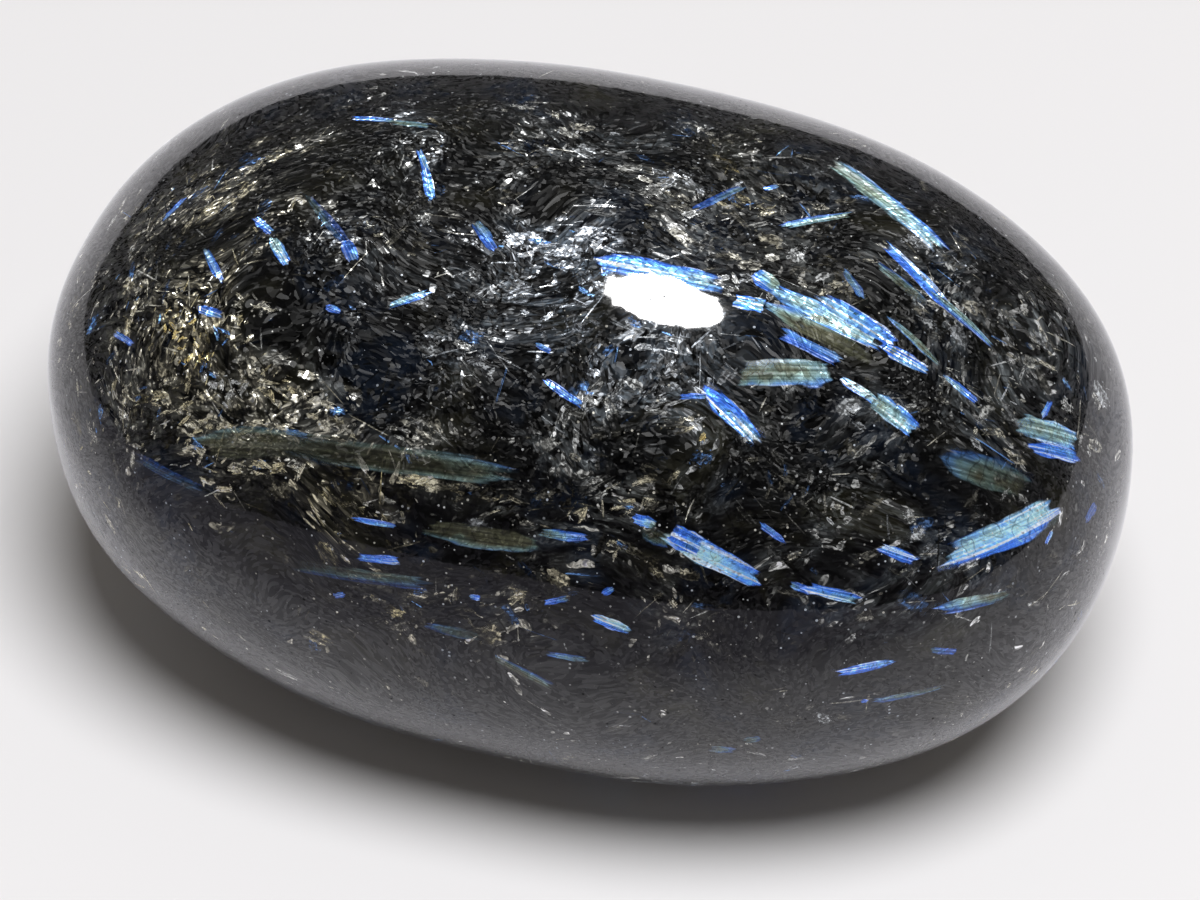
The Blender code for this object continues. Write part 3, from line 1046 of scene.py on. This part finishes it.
# grains: angular laths and slivers too small to place
grains = {
    "turns": {"laths": (0.3, 0.1, -0.3), "slivers": (0.1, 0.5, 0.5)},
    "rare": 0.97,  # share of the cells without a grain, between the zones
    "thick": 0.71,  # and in the thickest
    "contrast": 2.0,
    "bright": 1.1,
}
grainTone = addRamp(
    zoneHere.outputs["Y"],
    {0.0: polish["cool"], 0.5: polish["grain"], 1.0: polish["warm"]},
)
for name, grainTurn in grains["turns"].items():
    grainSpace = addNode(
        tree,
        "Mapping",
        {"Vector": bentFlow, "Rotation": grainTurn, "Scale": perMillimetre[name]},
    )
    cells = addNode(tree, "TexVoronoi", {"Vector": grainSpace, "Scale": 1.0})
    chances = addNode(tree, "SeparateColor", {0: cells.outputs["Color"]})
    limit = addNode(
        tree,
        "MapRange",
        {"Value": zoneHere.outputs["X"], "To Min": grains["rare"], "To Max": grains["thick"]},
    )
    above = addNode(tree, "Math", {0: chances.outputs["Red"], 1: limit}, operation="GREATER_THAN")
    soft = addNode(
        tree,
        "MapRange",
        {"Value": cells.outputs["Distance"], "From Min": 0.60, "From Max": 0.48},
        interpolation_type="SMOOTHSTEP",
    )
    cover = addNode(tree, "Math", {0: above, 1: soft}, operation="MULTIPLY")
    light = addNode(
        tree, "Math", {0: chances.outputs["Green"], 1: grains["contrast"]}, operation="POWER"
    )
    light = addNode(tree, "Math", {0: light, 1: grains["bright"]}, operation="MULTIPLY")
    light = addNode(tree, "Math", {0: light, 1: grainLight}, operation="MULTIPLY")
    layOver(cover, grainTone, light, True)

# splinters, from the lowest layer up
for layer in reversed(range(splinters["layers"])):
    placed, spot, values, chance = readMark("splinter", layer)
    chances = addNode(tree, "SeparateXYZ", {0: chance})
    ragged = markPattern(placed, "ragged", 2.0)
    wobble = addNode(tree, "Math", {0: ragged, 1: 0.5}, operation="SUBTRACT")
    wobbleWay = addNode(tree, "VectorMath", {0: chance, 1: noiseMiddle}, operation="SUBTRACT")
    wobbleSize = addNode(
        tree, "MapRange", {"Value": values.outputs["Z"], "To Min": 7.5, "To Max": 3.5}
    )
    wobble = addNode(tree, "Math", {0: wobble, 1: wobbleSize}, operation="MULTIPLY")
    bent = addNode(tree, "VectorMath", {0: wobbleWay, "Scale": wobble}, operation="SCALE")
    bent = addNode(tree, "VectorMath", {0: bent, 1: placed}, operation="ADD")
    bent = addNode(tree, "SeparateXYZ", {0: bent})
    uAway = addNode(tree, "Math", {0: bent.outputs["X"]}, operation="ABSOLUTE")
    vAway = addNode(tree, "Math", {0: bent.outputs["Y"]}, operation="ABSOLUTE")
    taper = addNode(
        tree, "Math", {0: uAway, 1: chances.outputs["X"], 2: vAway}, operation="MULTIPLY_ADD"
    )
    edge = addNode(tree, "Math", {0: uAway, 1: taper}, operation="MAXIMUM")
    inside = addNode(
        tree,
        "MapRange",
        {"Value": edge, "From Min": 1.0, "From Max": 0.85},
        interpolation_type="SMOOTHSTEP",
    )
    rim = addNode(
        tree,
        "MapRange",
        {"Value": edge, "From Min": 0.4, "From Max": 0.75, "To Min": 0.12},
        interpolation_type="SMOOTHSTEP",
    )
    isFilled = addNode(
        tree, "Math", {0: chances.outputs["Y"], 1: patterns["hollowShare"]}, operation="GREATER_THAN"
    )
    filled = addNode(tree, "Math", {0: rim, 1: isFilled}, operation="MAXIMUM")
    streak = addNode(
        tree,
        "Math",
        {0: spot.outputs["Y"], 1: patterns["streaks"], 2: spot.outputs["Z"]},
        operation="MULTIPLY_ADD",
    )
    streak = addNode(
        tree, "Math", {0: ragged, 1: patterns["streakBend"], 2: streak}, operation="MULTIPLY_ADD"
    )
    streak = addNode(tree, "Math", {0: streak}, operation="SINE")
    streakLight = addNode(
        tree,
        "MapRange",
        {"Value": streak, "From Min": -0.8, "From Max": 1.0, "To Min": 0.2, "To Max": 1.6},
    )
    cover = addNode(tree, "Math", {0: inside, 1: filled}, operation="MULTIPLY")
    light = addNode(tree, "Math", {0: streakLight, 1: values.outputs["Y"]}, operation="MULTIPLY")
    light = addNode(tree, "Math", {0: light, 1: splinterLight}, operation="MULTIPLY")
    tone = addRamp(
        values.outputs["X"],
        {
            0.0: polish["steel"],
            0.03: polish["cool"],
            0.3: polish["pale"],
            0.8: polish["warm"],
            1.0: polish["gold"],
        },
    )
    layOver(cover, tone, light, True)

# sparks: the smallest grains, pale points in the colour whose brightest are painted glints, and pits,
# where the gloss is broken
sparkCells = addNode(
    tree, "TexVoronoi", {"Vector": millimetres, "Scale": perMillimetre["sparks"]}
)
chances = addNode(tree, "SeparateColor", {0: sparkCells.outputs["Color"]})
sparkReach = addNode(
    tree, "MapRange", {"Value": chances.outputs["Green"], "To Min": 0.10, "To Max": 0.24}
)
isNear = addNode(
    tree, "Math", {0: sparkCells.outputs["Distance"], 1: sparkReach}, operation="LESS_THAN"
)
limit = addNode(tree, "MapRange", {"Value": zoneHere.outputs["X"], "To Min": 0.74, "To Max": 0.45})
above = addNode(tree, "Math", {0: chances.outputs["Red"], 1: limit}, operation="GREATER_THAN")
cover = addNode(tree, "Math", {0: above, 1: isNear}, operation="MULTIPLY")
isPit = addNode(
    tree, "Math", {0: chances.outputs["Red"], 1: patterns["pitShare"]}, operation="LESS_THAN"
)
pit = addNode(tree, "Math", {0: isPit, 1: isNear}, operation="MULTIPLY")
gloss = addNode(tree, "Math", {0: 1.0, 1: pit}, operation="SUBTRACT")
light = addNode(
    tree, "Math", {0: chances.outputs["Blue"], 1: patterns["sparkContrast"]}, operation="POWER"
)
layOver(cover, addRamp(clouds, {0.4: polish["cool"], 0.6: polish["grain"]}), light, True)

# blades: lamellae along them, cracks across them, blue towards the sides, broken ends. The dull
# ones let some of the splinters under them through
times, plus = patterns["bladeFacets"]
bladeFacets = addNode(tree, "Math", {0: facetToneAndGlint, 1: times, 2: plus}, operation="MULTIPLY_ADD")
for layer in reversed(range(blades["layers"])):
    placed, spot, values, chance = readMark("blade", layer)
    chances = addNode(tree, "SeparateXYZ", {0: chance})
    broken = markPattern(placed, "broken", 2.0)
    lamellae = markPattern(placed, "lamellae", 1.0)
    crossing = markPattern(placed, "crossing", 1.0)
    uAway = addNode(tree, "Math", {0: spot.outputs["X"]}, operation="ABSOLUTE")
    vAway = addNode(tree, "Math", {0: spot.outputs["Y"]}, operation="ABSOLUTE")
    times, plus = patterns["endSteps"]
    step = addNode(tree, "Math", {0: broken, 1: times, 2: plus}, operation="MULTIPLY_ADD")
    endEdge = addNode(tree, "Math", {0: uAway, 1: step}, operation="ADD")
    times, plus = patterns["sideSteps"]
    step = addNode(tree, "Math", {0: broken, 1: times, 2: plus}, operation="MULTIPLY_ADD")
    sideEdge = addNode(tree, "Math", {0: vAway, 1: step}, operation="ADD")
    narrowing = addNode(tree, "Math", {0: uAway, 1: patterns["narrowing"]}, operation="POWER")
    narrowing = addNode(tree, "Math", {0: narrowing, 1: chances.outputs["X"]}, operation="MULTIPLY")
    sideEdge = addNode(
        tree,
        "Math",
        {0: narrowing, 1: patterns["narrowingDepth"], 2: sideEdge},
        operation="MULTIPLY_ADD",
    )
    edge = addNode(tree, "Math", {0: endEdge, 1: sideEdge}, operation="MAXIMUM")
    cover = addNode(
        tree,
        "MapRange",
        {"Value": edge, "From Min": 1.02, "From Max": 0.84},
        interpolation_type="SMOOTHSTEP",
    )
    outer = addNode(
        tree,
        "MapRange",
        {"Value": sideEdge, "From Min": 0.3, "From Max": 0.95, "To Min": -0.12, "To Max": 0.26},
    )
    blueness = addNode(tree, "Math", {0: outer, 1: values.outputs["X"]}, operation="ADD")
    lean = addNode(tree, "Math", {0: chances.outputs["Y"], 1: 0.5}, operation="SUBTRACT")
    lean = addNode(tree, "Math", {0: lean, 1: spot.outputs["X"]}, operation="MULTIPLY")
    blueness = addNode(tree, "Math", {0: lean, 1: blueness}, operation="ADD")
    fade = addNode(
        tree,
        "MapRange",
        {"Value": lean, "From Min": -0.4, "From Max": 0.4, "To Min": 0.45, "To Max": 1.55},
    )
    lean = addNode(tree, "Math", {0: chances.outputs["Z"], 1: 0.5}, operation="SUBTRACT")
    blueness = addNode(
        tree, "Math", {0: lean, 1: spot.outputs["Y"], 2: blueness}, operation="MULTIPLY_ADD"
    )
    blueness = addNode(
        tree,
        "Math",
        {0: crossing, 1: patterns["crossingBlue"], 2: blueness},
        operation="MULTIPLY_ADD",
    )
    blueness = addNode(
        tree, "Math", {0: blueness, 1: patterns["crossingMiddle"]}, operation="SUBTRACT"
    )
    bladeTone = addRamp(
        blueness,
        {
            0.0: polish["bladeOlive"],
            0.2: polish["bladeGreen"],
            0.45: polish["bladePale"],
            0.65: polish["bladeSky"],
            0.85: polish["bladeBlue"],
            1.0: polish["bladeDeep"],
        },
    )
    whiteness = addNode(
        tree,
        "MapRange",
        {"Value": lamellae, "From Min": 0.53, "From Max": 0.70, "To Min": 0.0, "To Max": 0.85},
    )
    whiteness = addNode(tree, "Math", {0: whiteness, 1: values.outputs["Y"]}, operation="MULTIPLY")
    bladeTone = addNode(
        tree, "MixRGB", {0: whiteness, 1: bladeTone, 2: hexToLinear(polish["bladeWhite"])}
    )
    bands = addNode(
        tree,
        "MapRange",
        {"Value": lamellae, "From Min": 0.32, "From Max": 0.62, "To Min": 0.5, "To Max": 1.8},
    )
    crack = addNode(tree, "Math", {0: crossing, 1: patterns["cracks"]}, operation="SUBTRACT")
    crack = addNode(tree, "Math", {0: crack}, operation="ABSOLUTE")
    crackLight = addNode(
        tree,
        "MapRange",
        {"Value": crack, "From Min": 0.0, "From Max": 0.03, "To Min": 0.35, "To Max": 1.0},
    )
    light = addNode(tree, "Math", {0: bands, 1: crackLight}, operation="MULTIPLY")
    light = addNode(tree, "Math", {0: light, 1: values.outputs["Y"]}, operation="MULTIPLY")
    light = addNode(tree, "Math", {0: light, 1: bladeFacets}, operation="MULTIPLY")
    light = addNode(tree, "Math", {0: light, 1: fade}, operation="MULTIPLY")
    hold = addNode(
        tree,
        "MapRange",
        {"Value": values.outputs["Y"], "From Min": 0.05, "From Max": 0.35, "To Min": 0.55},
    )
    cover = addNode(tree, "Math", {0: cover, 1: hold}, operation="MULTIPLY")
    layOver(cover, bladeTone, light, True)

geometry = addNode(tree, "NewGeometry")
leaning = addNode(
    tree,
    "VectorMath",
    {0: facetTilt, 1: patterns["facetTurn"], 2: geometry.outputs["Normal"]},
    operation="MULTIPLY_ADD",
)
leaning = addNode(tree, "VectorMath", {0: leaning}, operation="NORMALIZE")
lapping = addNode(tree, "VectorMath", {0: bend.outputs["Color"], 1: noiseMiddle}, operation="SUBTRACT")
lapping = addNode(
    tree,
    "VectorMath",
    {0: lapping, 1: patterns["lapping"], 2: geometry.outputs["Normal"]},
    operation="MULTIPLY_ADD",
)
lapping = addNode(tree, "VectorMath", {0: lapping}, operation="NORMALIZE")
metal = addNode(
    tree,
    "Math",
    {0: look["shine"], 1: polish["metalShare"]},
    operation="MULTIPLY",
    use_clamp=True,
)
shader = addNode(
    tree,
    "BsdfPrincipled",
    {
        "Base Color": look["colour"],
        "Metallic": metal,
        "Roughness": polish["roughness"],
        "Normal": leaning,
        "IOR": polish["mineralIor"],
        "Specular IOR Level": polish["mineralGloss"],
        "Coat Weight": gloss,
        "Coat Roughness": polish["glossRoughness"],
        "Coat IOR": polish["glossIor"],
        "Coat Normal": lapping,
    },
)
addNode(tree, "OutputMaterial", {"Surface": shader})
stoneMesh.materials.clear()
stoneMesh.materials.append(nuummite)
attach(stone, "root")
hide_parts("nuummite_stone")
